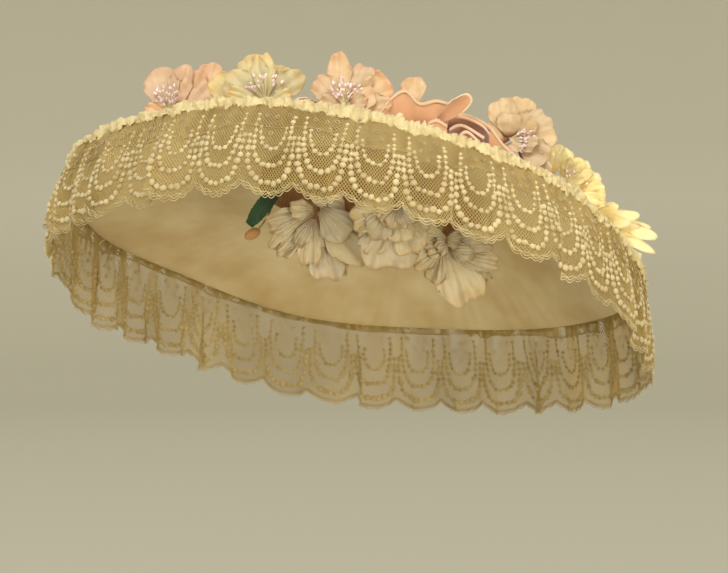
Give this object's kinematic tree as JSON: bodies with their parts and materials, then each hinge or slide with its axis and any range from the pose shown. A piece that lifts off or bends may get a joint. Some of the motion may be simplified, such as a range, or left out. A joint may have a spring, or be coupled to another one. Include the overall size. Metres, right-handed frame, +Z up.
{
  "type": "wide-brimmed lace hat",
  "caption": "Wide drooping hat with a low crown, a deep scalloped lace flounce round the rim, a wreath of silk flowers on the brim and large ones under its back.",
  "frame": {"origin": "centre of the head opening, in the plane where the crown meets the brim", "axes": "+Z up as the hat is worn, -Y to the wearer's front, +X to the wearer's left; the hat is pitched forward 22 degrees about X in this frame"},
  "size_m": [0.4574, 0.3808, 0.275],
  "materials": {
    "brim_silk": "matte gathered silk",
    "crown_silk": "matte silk",
    "bandeau_net": "stiffened net",
    "lace_cotton": "cotton net lace with raised embroidery",
    "ruche_chiffon": "crinkled chiffon",
    "silk_pink": "matte silk petals",
    "silk_cream": "matte silk petals",
    "silk_peach": "matte silk petals",
    "silk_yellow": "matte silk petals",
    "silk_apple": "matte silk petals",
    "velvet_rose": "short-pile velvet",
    "silk_antique": "matte silk petals, darker at their edges",
    "leaf_green": "waxed cotton leaf"
  },
  "bodies": {
    "root": {"brim": "brim_silk", "crown": "crown_silk", "back_bandeau": "bandeau_net", "lace_flounce": "lace_cotton", "edge_ruche": "ruche_chiffon", "blossom_cream_front": "silk_cream", "blossom_pink_front_left": "silk_pink", "blossom_yellow_left": "silk_yellow", "blossom_peach_left": "silk_peach", "blossom_cream_left": "silk_cream", "blossom_pink_back_left": "silk_pink", "blossom_cream_back": "silk_cream", "blossom_peach_back": "silk_peach", "rose_velvet": "velvet_rose", "blossom_apple_right": "silk_apple", "blossom_yellow_right": "silk_yellow", "daisy_yellow": "silk_yellow", "blossom_pink_right": "silk_pink", "blossom_peach_front_right": "silk_peach", "under_flower_left": "silk_antique", "under_flower_middle": "silk_antique", "under_flower_right": "silk_antique", "leaf_green": "leaf_green"}
  },
  "joints": []
}
